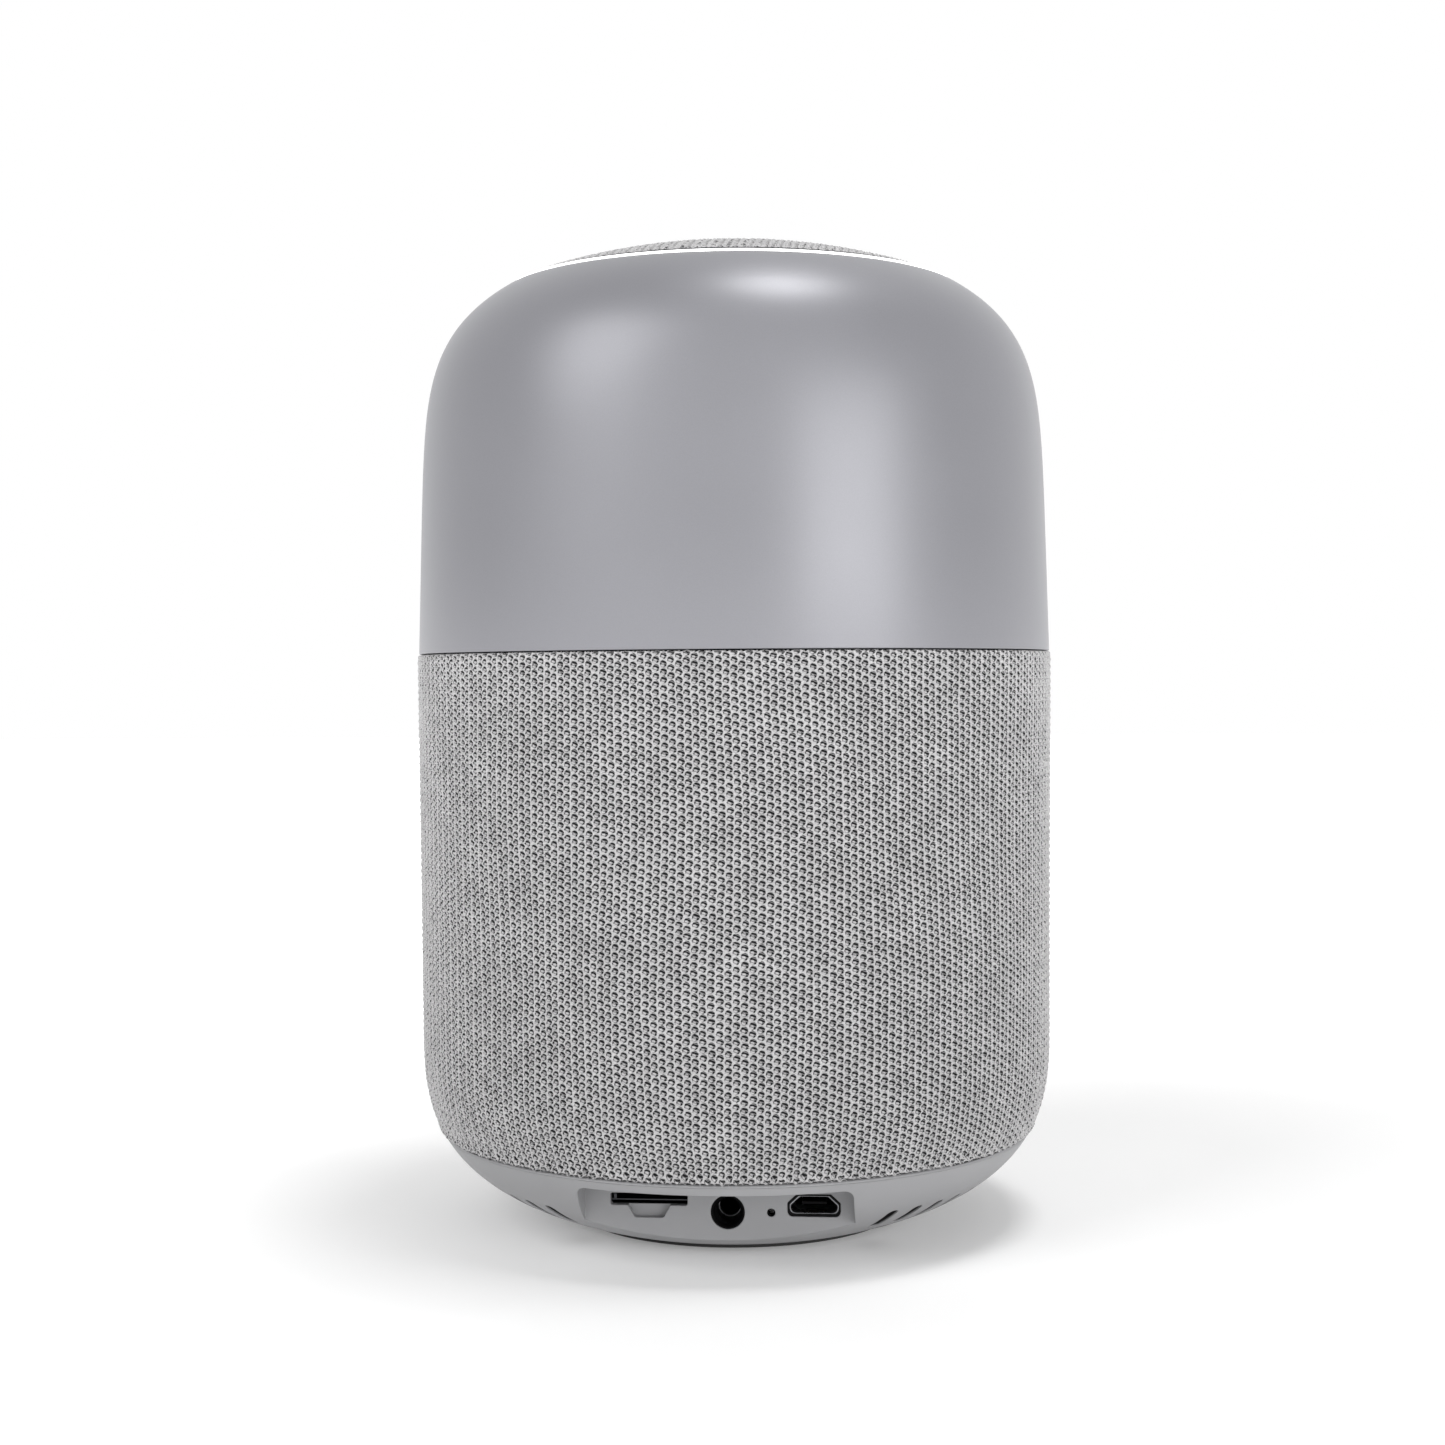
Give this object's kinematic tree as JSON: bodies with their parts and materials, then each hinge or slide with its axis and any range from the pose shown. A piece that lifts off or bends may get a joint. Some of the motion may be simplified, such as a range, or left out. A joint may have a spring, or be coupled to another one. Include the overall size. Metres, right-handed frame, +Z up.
{
  "type": "smart speaker",
  "caption": "Free-standing smart speaker: knitted barrel, painted dome with a light ring round a turning, pressing knit crown, and a bowl base with a socket recess and bass slots.",
  "frame": {"origin": "centre of the underside, on the surface the speaker stands on", "axes": "+Z up along the body's axis, the sockets face -Y, +X to the right when looking at the sockets"},
  "size_m": [0.1058, 0.1058, 0.1621],
  "materials": {
    "dome_paint": "satin silver-grey paint over moulded plastic",
    "knit": "light grey knitted polyester",
    "base_plastic": "fine textured moulded plastic",
    "black_plastic": "moulded",
    "diffuser_plastic": "milky translucent",
    "rubber": "matte",
    "circuit_board": "solder mask",
    "steel": "plated",
    "ferrite": "sintered",
    "paper_cone": "pressed paper",
    "copper_coil": "copper winding",
    "battery_wrap": "shrink wrap",
    "aluminium": "turned"
  },
  "bodies": {
    "root": {"base_bowl": "base_plastic", "foot_ring": "rubber", "grille_core": "black_plastic", "fabric_sleeve": "knit", "middle_deck": "black_plastic", "upper_shell": "dome_paint", "light_ring": "diffuser_plastic", "control_frame": "black_plastic", "control_board": "circuit_board", "led_ring": "diffuser_plastic", "encoder_body": "black_plastic", "encoder_bushing": "steel", "dome_switch": "steel", "mic_left": "steel", "mic_right": "steel", "main_board": "circuit_board", "shield_can": "steel", "heat_sink": "aluminium", "battery_tray": "black_plastic", "battery_cell_1": "battery_wrap", "battery_cell_2": "battery_wrap", "ribbon_cable": "battery_wrap", "sound_diffuser": "black_plastic", "chamber_tub": "black_plastic", "chamber_lid": "black_plastic", "driver_basket": "steel", "driver_surround": "rubber", "driver_spider": "knit", "top_plate": "steel", "magnet_ring": "ferrite", "back_plate": "steel", "radiator_frame": "black_plastic", "radiator_surround": "rubber", "port_board": "circuit_board", "usb_socket": "steel", "usb_tongue": "black_plastic", "aux_socket": "black_plastic", "card_socket": "steel", "reset_switch": "black_plastic", "base_screw_1": "steel", "base_screw_2": "steel", "base_screw_3": "steel", "base_screw_4": "steel", "deck_screw_1": "steel", "shell_screw_1": "steel", "deck_screw_2": "steel", "shell_screw_2": "steel", "deck_screw_3": "steel", "shell_screw_3": "steel"},
    "press_plunger": {"press_plunger": "black_plastic"},
    "dial": {"dial_shaft": "aluminium", "dial_cap": "black_plastic", "dial_cloth": "knit"},
    "driver_cone": {"driver_cone": "paper_cone", "dust_cap": "paper_cone", "voice_coil": "copper_coil"},
    "radiator": {"radiator_plate": "black_plastic", "radiator_weight": "steel"},
    "card_slider": {"card_slider": "black_plastic"},
    "reset_plunger": {"reset_plunger": "diffuser_plastic"}
  },
  "joints": [
    {"name": "dial_press", "type": "slide", "parent": "root", "child": "press_plunger", "axis": [0, 0, -1], "range_m": [0, 0.0005], "stiffness_N_per_m": 4000, "springref_m": -0.0002},
    {"name": "dial_turn", "type": "hinge", "parent": "press_plunger", "child": "dial", "pos_m": [0, 0, 0.155], "axis": [0, 0, 1], "continuous": true},
    {"name": "cone_stroke", "type": "slide", "parent": "root", "child": "driver_cone", "axis": [0, 0, 1], "range_m": [-0.0015, 0.0015], "stiffness_N_per_m": 1500},
    {"name": "radiator_stroke", "type": "slide", "parent": "root", "child": "radiator", "axis": [0, 0, 1], "range_m": [-0.0025, 0.0025], "stiffness_N_per_m": 1500},
    {"name": "card_eject", "type": "slide", "parent": "root", "child": "card_slider", "axis": [0, 1, 0], "range_m": [0, 0.0008], "stiffness_N_per_m": 300},
    {"name": "reset_press", "type": "slide", "parent": "root", "child": "reset_plunger", "axis": [0, 1, 0], "range_m": [0, 0.00025], "stiffness_N_per_m": 1500}
  ]
}
